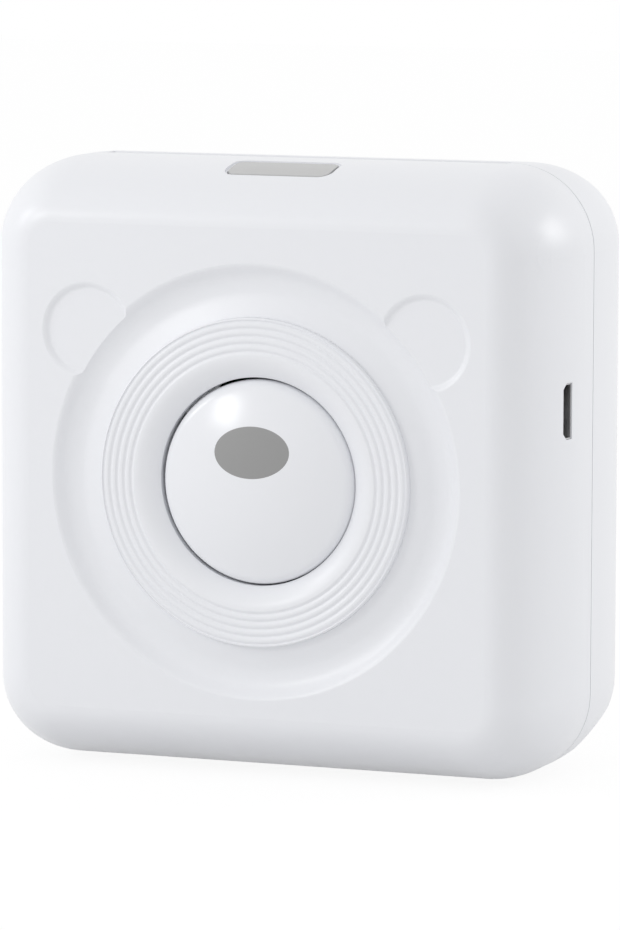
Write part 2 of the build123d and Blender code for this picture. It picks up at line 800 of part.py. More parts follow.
def head_pin_depth():
    """Depth of the print head's pivot."""
    return (head_front + head_back) / 2


def motor_place():
    """Depth and height of the motor's shaft."""
    return gear_places()["pinion"]


def step_from(place, distance, lean_deg):
    """A place at a distance from another, in the plane of depth and height."""
    return (place[0] + distance * cos(radians(lean_deg)), place[1] + distance * sin(radians(lean_deg)))


def pitch_radius(teeth):
    """Pitch radius of a gear."""
    return gear_module * teeth / 2


def gear_places():
    """Depth and height of each gear's axis, from the platen back to the motor."""
    platen = (platen_depth, print_line_up)
    idler = step_from(platen, pitch_radius(platen_teeth) + pitch_radius(idler_teeth), 180)
    large = step_from(idler, pitch_radius(idler_teeth) + pitch_radius(small_teeth), idler_lean_deg)
    pinion = step_from(large, pitch_radius(large_teeth) + pitch_radius(pinion_teeth), large_lean_deg)
    return {"platen": platen, "idler": idler, "large": large, "pinion": pinion}


def bearing_deg(start, end):
    """Direction from one gear's axis to another's."""
    return degrees(atan2(end[1] - start[1], end[0] - start[0]))


def mating_phase(phase, teeth, direction, mate_teeth):
    """Tooth phase of a gear that meshes with another one lying in a direction from it."""
    pitch = 360 / teeth
    offset = (phase - direction + pitch / 2) % pitch - pitch / 2
    return direction + 180 - offset * teeth / mate_teeth + 180 / mate_teeth


def gear(place, teeth, phase, x0, x1):
    """Spur gear with straight-sided teeth."""
    pitch = 2 * pi / teeth
    tip = pitch_radius(teeth) + 0.85 * gear_module
    root = pitch_radius(teeth) - 1.15 * gear_module
    points = []
    for tooth in range(teeth):
        centre = radians(phase) + tooth * pitch
        for radius, share in ((root, -0.29), (tip, -0.12), (tip, 0.12), (root, 0.29)):
            angle = centre + share * pitch
            points.append((deep(place[0]) + radius * cos(angle), place[1] + radius * sin(angle)))
    outline = Polyline(*points, points[0])
    face = Plane.YZ * make_face(outline.edges())
    return extrude(Pos(x0, 0, 0) * face, amount=x1 - x0, dir=(1, 0, 0))


def gear_phases():
    """Tooth phases that put every pair in mesh."""
    places = gear_places()
    to_small = bearing_deg(places["idler"], places["large"])
    to_pinion = bearing_deg(places["large"], places["pinion"])
    return {
        "idler": 0,
        "platen": mating_phase(0, idler_teeth, 0, platen_teeth),
        "small": mating_phase(0, idler_teeth, to_small, small_teeth),
        "large": 0,
        "pinion": mating_phase(0, large_teeth, to_pinion, pinion_teeth),
    }


def gear_plate():
    """Steel plate that carries the motor and the gear pins."""
    places = gear_places()
    x = (gear_plate_x, gear_plate_x + gear_plate_thickness)
    split = places["idler"][1] - gear_plate_step
    plate = block(x, (places["pinion"][0] - gear_plate_reach, gear_plate_back),
                  (places["pinion"][1] - gear_plate_reach, split))
    plate = plate + block(x, (lever_depth + lever_bar / 2 + 1.3, gear_plate_back),
                          (split - 0.1, places["idler"][1] + 4.0))
    plate = plate - rod_x(x[0] - 1, x[1] + 1, *places["pinion"], motor_pilot_radius + 0.1)
    for name in ("idler", "large"):
        plate = plate - rod_x(x[0] - 1, x[1] + 1, *places[name], gear_pin_radius)
    return plate - rod_x(x[0] - 1, x[1] + 1, head_pin_depth(), head_pin_up, head_pin_radius + 0.6)


def gear_pins():
    """Steel pins that the two loose gears turn on."""
    places = gear_places()
    end = small_x - 0.3
    return [rod_x(end, gear_plate_x + gear_plate_thickness, *places[name], gear_pin_radius)
            for name in ("idler", "large")]


def reduction_gear():
    """Double gear: the large one is driven by the motor, the small one drives the idler."""
    place = gear_places()["large"]
    phases = gear_phases()
    wheel = gear(place, large_teeth, phases["large"], large_x, large_x + gear_width)
    wheel = wheel + gear(place, small_teeth, phases["small"], small_x, small_x + gear_width + 0.1)
    return wheel - rod_x(small_x - 1, large_x + gear_width + 1, *place, gear_pin_radius + gear_pin_clearance)


def idler_gear():
    """Single gear between the reduction gear and the platen's gear."""
    place = gear_places()["idler"]
    wheel = gear(place, idler_teeth, gear_phases()["idler"], small_x, small_x + gear_width)
    return wheel - rod_x(small_x - 1, gear_plate_x + 1, *place, gear_pin_radius + gear_pin_clearance)


def motor_body():
    """Small round stepper motor behind its plate."""
    place = motor_place()
    face = gear_plate_x + gear_plate_thickness
    body = rod_x(face, face + motor_length, *place, motor_radius)
    body = body + rod_x(face - motor_pilot_length, face + 0.5, *place, motor_pilot_radius)
    hole = rod_x(face - 2, face + motor_length - 1, *place, motor_shaft_radius + pin_clearance)
    return body - hole


def motor_pinion():
    """Motor shaft with its pinion."""
    place = motor_place()
    face = gear_plate_x + gear_plate_thickness
    shaft = rod_x(large_x, face + motor_length - 1.2, *place, motor_shaft_radius)
    return shaft + gear(place, pinion_teeth, gear_phases()["pinion"], large_x, large_x + gear_width)


def platen_shaft():
    """Steel shaft of the platen roller."""
    return rod_x(-shaft_half_length, shaft_half_length, platen_depth, print_line_up, shaft_radius)


def platen_rubber():
    """Rubber sleeve that presses the paper on the print head."""
    return tube_x(-platen_half_length, platen_half_length, platen_depth, print_line_up, platen_radius, shaft_radius)


def platen_gear():
    """Gear fixed on the platen's shaft."""
    place = gear_places()["platen"]
    wheel = gear(place, platen_teeth, gear_phases()["platen"], small_x, small_x + gear_width)
    return wheel - rod_x(small_x - 1, small_x + gear_width + 1, *place, shaft_radius)


def platen_bush(side):
    """Plain bush in which the platen's shaft turns."""
    inner, outer = sorted((side * bush_half_start, side * (bush_half_start + bush_length)))
    return tube_x(inner, outer, platen_depth, print_line_up, bush_radius, shaft_radius + pin_clearance)


def platen_bracket():
    """Moulded bracket in the cover with a cheek at each end for the platen's bushes."""
    back = bracket_back - bracket_thickness
    bracket = block((-bush_half_start - bracket_thickness, bush_half_start + bracket_thickness),
                    (back, bracket_back), (bracket_low, bracket_high))
    for side in (-1, 1):
        inner, outer = sorted((side * (bush_half_start + 0.1), side * (bush_half_start + bracket_thickness)))
        bracket = bracket + block((inner, outer), (bracket_front, bracket_back), (bracket_low, bracket_high))
        bracket = bracket - rod_x(inner - 1, outer + 1, platen_depth, print_line_up, bush_radius)
        bracket = bracket - rod_y(side * bracket_boss_x, print_line_up, back - 1, bracket_back + 1,
                                  screw_radius + 0.2)
    return bracket


def paper_guide():
    """Smooth plate in the cover that leads the paper from the roll to the platen."""
    depth = (guide_depth, guide_depth + guide_thickness)
    guide = block((-guide_half_width, guide_half_width), depth, (guide_low, guide_high))
    lip = rod_x(-guide_half_width, guide_half_width, guide_depth + 2.6, guide_low, 2.6)
    lip = lip - rod_x(-guide_half_width - 1, guide_half_width + 1, guide_depth + 2.6, guide_low, 2.6 - guide_thickness)
    lip = lip - block((-50, 50), (guide_depth + 2.6, guide_depth + 9), (guide_low - 9, guide_low + 9))
    lip = lip - block((-50, 50), (guide_depth - 9, guide_depth + 9), (guide_low, guide_low + 9))
    guide = guide + lip
    for side in (-1, 1):
        for up in (guide_low + 3, guide_high - 3):
            guide = guide - rod_y(side * guide_rib_x, up, guide_depth - 1, guide_depth + 3, screw_radius + 0.2)
    return guide


def frame_screws():
    """Four screws that hold the inner frame in the front shell."""
    seat = screw_ear_depth + screw_ear_thickness
    return [rod_y(x, up, screw_ear_depth - screw_bite + 0.5, seat + 0.1, screw_radius)
            + rod_y(x, up, seat, seat + screw_head_thickness, screw_head_radius) for x, up in screw_places()]


def board_screws():
    """Two screws that hold the main board."""
    seat = board_depth + board_thickness
    return [rod_y(x, board_screw_up, board_depth - screw_bite + 0.5, seat + 0.1, screw_radius)
            + rod_y(x, board_screw_up, seat, seat + screw_head_thickness, screw_head_radius)
            for x in board_screw_x]


def bridge_screws():
    """Two screws that hold the spring bridge."""
    seat = bridge_depth + bridge_thickness
    return [rod_y(side * bridge_post_x, face_up, bridge_depth - 3.6, seat + 0.1, screw_radius)
            + rod_y(side * bridge_post_x, face_up, seat, seat + screw_head_thickness, screw_head_radius)
            for side in (-1, 1)]


def switch_screws():
    """Two screws that hold the switch board from below."""
    return [rod_z(side * switch_post_x, key_depth, switch_board_up - 0.1, switch_board_up + 4.6, screw_radius)
            + rod_z(side * switch_post_x, key_depth, switch_board_up - screw_head_thickness, switch_board_up,
                    screw_head_radius - 0.3) for side in (-1, 1)]


def bracket_screws():
    """Two screws that hold the platen bracket."""
    seat = bracket_back - bracket_thickness
    return [rod_y(side * bracket_boss_x, print_line_up, seat - 0.1, bracket_back + screw_bite - 0.4, screw_radius)
            + rod_y(side * bracket_boss_x, print_line_up, seat - screw_head_thickness, seat, screw_head_radius)
            for side in (-1, 1)]


def guide_screws():
    """Four flat-headed screws that hold the paper guide."""
    seat = guide_depth + guide_thickness
    return [rod_y(side * guide_rib_x, up, guide_depth + 0.1, seat + 4.6, screw_radius)
            for side in (-1, 1) for up in (guide_low + 3, guide_high - 3)]


def print_head_plate():
    """Aluminium plate that backs the thermal strip and swings on two stub pins."""
    plate = block((-head_half_width, head_half_width), (head_front, head_back), (head_low, head_high))
    for side in (-1, 1):
        inner, outer = sorted((side * (head_half_width - 1), side * (head_half_width + head_pin_reach)))
        plate = plate + rod_x(inner, outer, head_pin_depth(), head_pin_up, head_pin_radius * 0.7 + 0.2)
    return plate


def print_head_strip():
    """Ceramic strip with the raised glaze line that prints."""
    strip = block((-ceramic_half_width, ceramic_half_width), (head_back, head_back + ceramic_thickness),
                  (ceramic_low, ceramic_high))
    crown = rod_x(-ceramic_half_width, ceramic_half_width, head_back + ceramic_thickness + glaze_height - glaze_radius,
                  print_line_up, glaze_radius)
    crown = crown & block((-50, 50), (head_back + ceramic_thickness - 0.1, head_back + 5), (60, 80))
    return strip + crown


def head_chip_cover():
    """Dark resin strip over the print head's driver chips."""
    return block((-ceramic_half_width, ceramic_half_width), (head_back, head_back + 0.8), (head_low + 0.6, ceramic_low))


def coil(x, up, depth0, depth1, radius, wire, turns):
    """Coil spring along the depth, one unbroken wire."""
    length = depth1 - depth0 - wire
    path = Helix(pitch=length / turns, height=length, radius=radius - wire / 2)
    section = Plane(origin=path @ 0, z_dir=path % 0) * Circle(wire / 2)
    spring = sweep(section, path=path, is_frenet=True)
    return Pos(x, deep(depth0 + wire / 2), up) * Rot(-90, 0, 0) * spring


def head_springs():
    """Two springs that press the print head towards the platen."""
    return [coil(side * spring_x, print_line_up, beam_depth + beam_thickness, head_front, spring_radius,
                 spring_wire, spring_turns) for side in (-1, 1)]


def release_spring():
    """Spring that returns the release lever and, through it, the button."""
    return coil(0, face_up, lever_depth + lever_tongue_thickness / 2, bridge_depth + spring_pocket_depth,
                release_spring_radius, release_spring_wire, release_spring_turns)


def button_bridge():
    """Moulded bridge behind the button, with a pocket for the release spring."""
    bridge = block((-bridge_half_length, bridge_half_length), (bridge_depth, bridge_depth + bridge_thickness),
                   (face_up - bridge_half_height, face_up + bridge_half_height))
    bridge = fillet(bridge.edges().filter_by(Axis.Y), 0.8)
    for side in (-1, 1):
        bridge = bridge - rod_y(side * bridge_post_x, face_up, bridge_depth - 1, bridge_depth + 3,
                                screw_radius + 0.2)
    return bridge - rod_y(0, face_up, bridge_depth - 1, bridge_depth + spring_pocket_depth,
                          release_spring_radius + 0.2)


def release_lever():
    """Lever with a tongue behind the button and two arms that hook the cover's catch pins."""
    half_bar = lever_bar / 2
    span = (-lever_half_length, lever_half_length)
    bar = block(span, (lever_depth - half_bar, lever_depth + half_bar), (lever_up - half_bar, lever_up + half_bar))
    half_tongue = lever_tongue_thickness / 2
    bar = bar + block((-lever_tongue_width / 2, lever_tongue_width / 2),
                      (lever_depth - half_tongue, lever_depth + half_tongue), (lever_tongue_end, lever_up))
    for side in (-1, 1):
        inner, outer = sorted((side * (lever_half_length - lever_arm_thickness), side * lever_half_length))
        bar = bar + block((inner, outer), (lever_depth - half_bar, hook_back), (arm_low, arm_high))
        bar = bar + block((inner, outer), (hook_front, hook_back), (arm_low - catch_gap / 6, arm_low + 0.1))
        tip = sorted((side * (lever_half_length - 0.5), side * (lever_half_length + lever_pin_length)))
        bar = bar + rod_x(*tip, lever_depth, lever_up, lever_pin_radius)
    return bar


def catch_pins():
    """Steel pins in the cover that the lever's arms hold."""
    pins = []
    for side in (-1, 1):
        inner, outer = sorted((side * catch_inner_x, side * (inner_half - 0.3)))
        pins.append(rod_x(inner, outer, catch_depth, catch_up(), catch_radius))
    return pins


def hinge_pins():
    """Two steel pins of the cover's hinge."""
    return [rod_x(side * hinge_x - hinge_pin_length / 2, side * hinge_x + hinge_pin_length / 2,
                  hinge_depth, hinge_up, hinge_pin_radius) for side in (-1, 1)]


def tear_blade():
    """Serrated steel blade on the front edge of the paper slot."""
    half = slot_half_length - 0.1
    depth = (front_edge - blade_thickness, front_edge)
    low = top_up - blade_height
    crest = top_up - 0.15
    count = int(2 * half / blade_tooth_pitch)
    pitch = 2 * half / count
    points = [(-half, low), (half, low)]
    for tooth in range(count, 0, -1):
        right = -half + tooth * pitch
        points.append((right, crest - blade_tooth_height))
        points.append((right - pitch / 2, crest))
    points.append((-half, crest - blade_tooth_height))
    outline = Polyline(*points, points[0])
    face = Plane.XZ * make_face(outline.edges())
    return Pos(0, deep(depth[0]), 0) * extrude(face, amount=blade_thickness, dir=(0, 1, 0))


def sensor_box(grow):
    """The paper sensor's body, larger by a margin."""
    return block((10 - grow, 14 - grow + 2 * grow), (frame_wall_depth - 0.9 - grow, frame_wall_depth + 0.9 + grow),
                 (57 - grow, 60 + grow))


def paper_sensor():
    """Light sensor that sees whether there is paper."""
    return sensor_box(0)


def paper_roll():
    """Roll of thermal paper on its core."""
    return tube_x(-roll_length / 2, roll_length / 2, roll_depth, roll_up, roll_radius, core_radius)


def roll_core():
    """Card core of the roll."""
    return tube_x(-roll_length / 2, roll_length / 2, roll_depth, roll_up, core_radius, core_radius - core_wall)


nodes = {
    "front_shell": front_shell,
    "rear_cover": rear_cover,
    "button_ring": button_ring,
    "cover_button": cover_button,
    "nose_mark": nose_mark,
    "power_key": power_key,
    "usb_socket": usb_socket,
    "main_board": main_board,
    "board_chips": board_chips,
    "flex_connector": flex_connector,
    "head_ribbon": head_ribbon,
    "battery": battery,
    "switch_board": switch_board,
    "power_switch": power_switch,
    "switch_plunger": switch_plunger,
    "inner_frame": inner_frame,
    "paper_sensor": paper_sensor,
    "gear_plate": gear_plate,
    "gear_pins": gear_pins,
    "reduction_gear": reduction_gear,
    "idler_gear": idler_gear,
    "motor_body": motor_body,
    "motor_pinion": motor_pinion,
    "platen_shaft": platen_shaft,
    "platen_rubber": platen_rubber,
    "platen_gear": platen_gear,
    "platen_bush_left": lambda: platen_bush(-1),
    "platen_bush_right": lambda: platen_bush(1),
    "platen_bracket": platen_bracket,
    "paper_guide": paper_guide,
    "print_head_plate": print_head_plate,
    "print_head_strip": print_head_strip,
    "head_chip_cover": head_chip_cover,
    "head_springs": head_springs,
    "release_spring": release_spring,
    "button_bridge": button_bridge,
    "release_lever": release_lever,
    "catch_pins": catch_pins,
    "hinge_pins": hinge_pins,
    "tear_blade": tear_blade,
    "paper_roll": paper_roll,
    "roll_core": roll_core,
    "frame_screws": frame_screws,
    "board_screws": board_screws,
    "bridge_screws": bridge_screws,
    "switch_screws": switch_screws,
    "bracket_screws": bracket_screws,
    "guide_screws": guide_screws,
}

os.makedirs("parts", exist_ok=True)
for name, make in nodes.items():
    shape = make()
    if isinstance(shape, (list, tuple)):
        shape = Compound(children=[solid for piece in shape for solid in piece.solids()])
    print(name, round(shape.volume, 1), [round(v, 2) for v in tuple(shape.bounding_box().size)], flush=True)
    export_step(shape, f"parts/{name}.step")
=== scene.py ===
import json
import math
import bmesh
import bpy
import numpy as np
from mathutils import Matrix, Vector


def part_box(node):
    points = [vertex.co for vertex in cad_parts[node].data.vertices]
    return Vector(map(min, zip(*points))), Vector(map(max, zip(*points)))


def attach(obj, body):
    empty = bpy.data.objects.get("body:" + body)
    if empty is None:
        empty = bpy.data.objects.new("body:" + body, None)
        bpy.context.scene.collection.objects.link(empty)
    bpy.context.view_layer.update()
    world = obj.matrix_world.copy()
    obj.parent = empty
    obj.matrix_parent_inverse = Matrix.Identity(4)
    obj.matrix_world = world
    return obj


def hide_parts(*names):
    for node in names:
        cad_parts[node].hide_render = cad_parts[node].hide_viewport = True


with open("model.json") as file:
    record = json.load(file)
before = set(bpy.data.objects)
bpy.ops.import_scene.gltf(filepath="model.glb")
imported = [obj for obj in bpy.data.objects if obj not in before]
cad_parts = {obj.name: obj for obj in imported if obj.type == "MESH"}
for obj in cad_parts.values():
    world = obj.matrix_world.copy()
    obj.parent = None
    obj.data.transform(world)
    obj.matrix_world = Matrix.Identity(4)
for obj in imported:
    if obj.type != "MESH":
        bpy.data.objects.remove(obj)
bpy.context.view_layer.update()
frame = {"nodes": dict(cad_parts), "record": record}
nodes = frame["nodes"]
mm = 0.001

# The casing's middle height, and how far below it the face's centre line lies, in metres
body = {
    "midUp": 41.4 * mm,
    "faceDrop": 1.13 * mm,
}
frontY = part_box("button_ring")[0][1] + 0.3 * mm  # the ring stands 0.3 mm proud of the face
faceUp = body["midUp"] - body["faceDrop"]


class Socket:
    # Wraps a node output so that shader maths reads as an expression.

    def __init__(self, graph, output):
        self.graph = graph
        self.output = output

    def maths(self, operation, *others, clamp=False):
        node = self.graph.node("ShaderNodeMath", {"operation": operation, "use_clamp": clamp},
                               dict(enumerate((self,) + others)))
        return Socket(self.graph, node.outputs[0])

    def __add__(self, other):
        return self.maths("ADD", other)

    def __sub__(self, other):
        return self.maths("SUBTRACT", other)

    def __mul__(self, other):
        return self.maths("MULTIPLY", other)

    def __radd__(self, other):
        return self.maths("ADD", other)

    def __rmul__(self, other):
        return self.maths("MULTIPLY", other)

    def __rsub__(self, other):
        return (self * -1.0).maths("ADD", other)


class Graph:
    # Node tree of one material, with one method that makes any node.

    def __init__(self, name, tree=None):
        self.coords = None
        self.tree = tree
        if tree is None:
            self.material = bpy.data.materials.new(name)
            self.material.use_nodes = True
            self.tree = self.material.node_tree
            self.shader = self.tree.nodes["Principled BSDF"]

    def node(self, kind, settings=None, values=None):
        made = self.tree.nodes.new(kind)
        for key, value in (settings or {}).items():
            setattr(made, key, value)
        for key, value in (values or {}).items():
            self.feed(made.inputs[key], value)
        return made

    def feed(self, socket, value):
        if isinstance(value, Socket):
            self.tree.links.new(value.output, socket)
        elif isinstance(value, (tuple, list)) and socket.type == "RGBA" and len(value) == 3:
            socket.default_value = (*value, 1.0)
        else:
            socket.default_value = value

    def out(self, made, key=0):
        return Socket(self, made.outputs[key])

    def place(self):
        if self.coords is None:
            self.coords = self.out(self.node("ShaderNodeTexCoord"), "Object")
        return self.coords

    def turned(self):
        # Object place with height brought into the second axis, for patterns that lie on upright walls
        apart = self.node("ShaderNodeSeparateXYZ", {}, {0: self.place()})
        return self.out(self.node("ShaderNodeCombineXYZ", {}, {0: self.out(apart, 0), 1: self.out(apart, 2),
                                                              2: self.out(apart, 1)}))

    def noise(self, scale, detail=3.0, roughness=0.5, stretch=None):
        vector = self.place()
        if stretch:
            vector = self.out(self.node("ShaderNodeMapping", {}, {"Vector": vector, "Scale": stretch}))
        made = self.node("ShaderNodeTexNoise", {}, {"Vector": vector, "Scale": scale, "Detail": detail,
                                                   "Roughness": roughness})
        return self.out(made, "Fac")

    def mix(self, factor, first, second):
        made = self.node("ShaderNodeMix", {"data_type": "RGBA"})
        self.feed(made.inputs[0], factor)
        self.feed(made.inputs[6], first)
        self.feed(made.inputs[7], second)
        return Socket(self, made.outputs[2])

    def bump(self, height, distance):
        return self.out(self.node("ShaderNodeBump", {}, {"Height": height, "Distance": distance}))

    def ramp(self, factor, low, high):
        made = self.node("ShaderNodeMapRange", {"clamp": True},
                         {"Value": factor, "From Min": low, "From Max": high})
        return self.out(made)

    def set(self, **values):
        names = {"colour": "Base Color", "rough": "Roughness", "metal": "Metallic", "normal": "Normal", "ior": "IOR"}
        for key, value in values.items():
            self.feed(self.shader.inputs[names[key]], value)
        return self.material


def linear(value):
    # An sRGB grey or colour of 0 to 255 as a linear colour.
    if isinstance(value, (int, float)):
        value = (value, value, value)
    return tuple(((c / 255 + 0.055) / 1.055) ** 2.4 if c > 10 else c / 255 / 12.92 for c in value)


def plasticMaterial(name, colour, rough, grain=900.0, depth=0.02, mottle=0.02, uneven=0.06):
    # Moulded plastic: a faint uneven tint, a fine spark-eroded grain and a slight unevenness of gloss.
    graph = Graph(name)
    cloud = graph.noise(60.0, 2.0)
    darker = tuple(c * (1.0 - mottle) for c in colour)
    tint = graph.mix(cloud, darker, colour)
    fine = graph.noise(grain * 10, 2.0, 0.6)
    broad = graph.noise(grain, 3.0)
    height = fine * 0.6 + broad * 0.4
    gloss = graph.ramp(graph.noise(180.0, 3.0), 0.3, 0.7) * uneven + (rough - uneven / 2)
    return graph.set(colour=tint, rough=gloss, ior=1.48, normal=graph.bump(height, depth * mm))


def metalMaterial(name, colour, rough, stretch=(1.0, 40.0, 1.0), depth=0.01):
    # Rolled or turned metal: fine drawn lines, uneven gloss and a few duller patches.
    graph = Graph(name)
    lines = graph.noise(900.0, 4.0, 0.6, stretch)
    patches = graph.ramp(graph.noise(120.0, 3.0), 0.35, 0.7)
    dull = tuple(c * 0.82 for c in colour)
    tint = graph.mix(patches, dull, colour)
    gloss = lines * 0.12 + patches * 0.08 + (rough - 0.1)
    return graph.set(colour=tint, rough=gloss, metal=1.0, normal=graph.bump(lines, depth * mm))


def rollMaterial(name, colour, axis, pitch, depth, dark):
    # Wound paper or card: fine rings of its layers about its axis, some a little proud, and a soft fibre grain
    graph = Graph(name)
    apart = graph.node("ShaderNodeSeparateXYZ", {}, {0: graph.place()})
    back = graph.out(apart, 1) - axis[0]
    up = graph.out(apart, 2) - axis[1]
    radius = (back * back + up * up).maths("SQRT")
    line = graph.node("ShaderNodeCombineXYZ", {}, {0: radius * (1.0 / pitch)})
    wound = graph.node("ShaderNodeTexNoise", {}, {"Vector": graph.out(line), "Scale": 1.0, "Detail": 2.0})
    layers = graph.out(wound)
    fibre = graph.noise(3000.0, 3.0, 0.6)
    tint = graph.mix(graph.ramp(layers, 0.35, 0.65), tuple(c * dark for c in colour), colour)
    tint = graph.mix(fibre * 0.12, tint, tuple(c * 0.8 for c in colour))
    height = layers + fibre * 0.25
    return graph.set(colour=tint, rough=fibre * 0.1 + 0.62, normal=graph.bump(height, depth))


def boardMaterial(name):
    # Circuit board: green lacquer over copper tracks, tinned pads here and there, woven glass grain
    graph = Graph(name)
    tracks = graph.node("ShaderNodeTexBrick", {"offset": 0.37, "offset_frequency": 3, "squash": 1.6,
                                               "squash_frequency": 2},
                        {"Vector": graph.turned(), "Scale": 160.0, "Mortar Size": 0.06, "Mortar Smooth": 0.1,
                         "Color1": (0.0, 0.0, 0.0), "Color2": (0.0, 0.0, 0.0), "Mortar": (1.0, 1.0, 1.0)})
    track = graph.out(tracks, "Fac")
    holes = graph.node("ShaderNodeTexVoronoi", {},
                       {"Vector": graph.turned(), "Scale": 420.0, "Randomness": 0.35})
    away = graph.out(holes, "Distance")
    pad = graph.ramp(away, 0.24, 0.20) * graph.ramp(graph.noise(230.0, 1.0), 0.52, 0.56)
    weave = graph.noise(4000.0, 2.0)
    green = graph.mix(weave * 0.5, (0.010, 0.085, 0.032), (0.016, 0.12, 0.05))
    tint = graph.mix(track * 0.65, green, (0.03, 0.20, 0.075))
    tint = graph.mix(pad, tint, (0.62, 0.60, 0.54))
    height = track * 0.5 + pad * 0.6 + weave * 0.1
    return graph.set(colour=tint, rough=weave * 0.1 + 0.24, metal=pad * 0.8,
                     normal=graph.bump(height, 0.04 * mm))


shellWhite = (0.855, 0.865, 0.897)
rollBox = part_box("paper_roll")
rollAxis = ((rollBox[0][1] + rollBox[1][1]) / 2, (rollBox[0][2] + rollBox[1][2]) / 2)
print("stage: materials")
finishes = {
    "white_shell": plasticMaterial("whiteShell", shellWhite, 0.34, depth=0.003, mottle=0.004, uneven=0.02),
    "white_button": plasticMaterial("whiteButton", shellWhite, 0.2, depth=0.002, mottle=0.004, uneven=0.02),
    "grey_key": plasticMaterial("greyKey", linear(196), 0.45),
    "grey_print": plasticMaterial("greyPrint", linear(152), 0.5),
    "steel": metalMaterial("steel", (0.60, 0.60, 0.61), 0.32),
    "dark_frame": plasticMaterial("darkFrame", (0.035, 0.035, 0.037), 0.5),
    "light_frame": plasticMaterial("lightFrame", (0.6, 0.6, 0.6), 0.5),
    "board_green": boardMaterial("boardGreen"),
    "chip_black": plasticMaterial("chipBlack", (0.02, 0.02, 0.021), 0.45),
    "battery_foil": metalMaterial("batteryFoil", (0.62, 0.63, 0.65), 0.4, (1.0, 1.0, 1.0), 0.03),
    "aluminium": metalMaterial("aluminium", (0.72, 0.72, 0.73), 0.38),
    "ceramic": plasticMaterial("ceramic", (0.66, 0.62, 0.52), 0.3),
    "rubber": plasticMaterial("rubber", (0.025, 0.025, 0.026), 0.7, depth=0.03),
    "gear_white": plasticMaterial("gearWhite", (0.72, 0.72, 0.68), 0.35),
    "bush_brass": metalMaterial("bushBrass", (0.72, 0.50, 0.19), 0.3),
    "paper": rollMaterial("paper", (0.86, 0.86, 0.85), rollAxis, 0.12 * mm, 0.03 * mm, 0.86),
    "card": rollMaterial("card", (0.36, 0.24, 0.13), rollAxis, 0.35 * mm, 0.05 * mm, 0.7),
    "ribbon": plasticMaterial("ribbon", (0.55, 0.25, 0.04), 0.3),
}


def dressNodes():
    # Gives every CAD node the finish of its slot
    slotOf = {part["node"]: part["material_slot"] for part in frame["record"]["subparts"]}
    for name, obj in nodes.items():
        slots = obj.data.materials
        slots.clear()
        slots.append(finishes[slotOf[name]])


dressNodes()


def meshPiece(name, points, faces, material, bodyName, nodeName):
    # Makes an object from arrays of points and of faces, gives it a finish and hangs it on a body.
    mesh = bpy.data.meshes.new(name)
    mesh.from_pydata(np.asarray(points, dtype=float).tolist(), [], faces)
    mesh.update()
    mesh.materials.append(material)
    mesh.shade_smooth()
    shape = bmesh.new()
    shape.from_mesh(mesh)
    bmesh.ops.recalc_face_normals(shape, faces=shape.faces)
    shape.to_mesh(mesh)
    shape.free()
    obj = bpy.data.objects.new(name, mesh)
    bpy.context.scene.collection.objects.link(obj)
    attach(obj, bodyName)
    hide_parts(nodeName)
    return obj


def gridFaces(rows, columns, firstPoint=0, closeRows=False, closeColumns=True, flip=False):
    # Quads that join a grid of points, row by row.
    lastRow = rows if closeRows else rows - 1
    lastColumn = columns if closeColumns else columns - 1
    row, column = np.meshgrid(np.arange(lastRow), np.arange(lastColumn), indexing="ij")
    nextRow, nextColumn = (row + 1) % rows, (column + 1) % columns
    quads = np.stack([row * columns + column, row * columns + nextColumn,
                      nextRow * columns + nextColumn, nextRow * columns + column], axis=-1)
    quads = quads.reshape(-1, 4) + firstPoint
    return (quads[:, ::-1] if flip else quads).tolist()


def turnedPoints(radii, depths, around, up):
    # Points of a profile of radius and depth turned about the face's centre line.
    angle = np.linspace(0.0, 2 * np.pi, around, endpoint=False)
    x = radii[:, None] * np.cos(angle)
    z = up + radii[:, None] * np.sin(angle)
    y = np.repeat((frontY + depths)[:, None], around, axis=1)
    return np.stack([x, y, z], axis=-1).reshape(-1, 3)


print("stage: ring")
ring = {
    "outer": 22.33 * mm,
    "inner": 14.15 * mm,
    "proud": 0.3 * mm,
    "seat": 2.2 * mm,
    "steep": 1.8,
    "lip": 1.6 * mm,
    "crest": 17.3 * mm,
    "grooves": 5,
    "grooveFirst": 17.8 * mm,
    "groovePitch": 1.03 * mm,
    "grooveHalf": 0.40 * mm,
    "grooveDepth": 0.20 * mm,
    "around": 360,
    "slopeSteps": 22,
    "levelSteps": 110,
    "edgeSteps": 7,
    "sharpDegrees": 40,
}


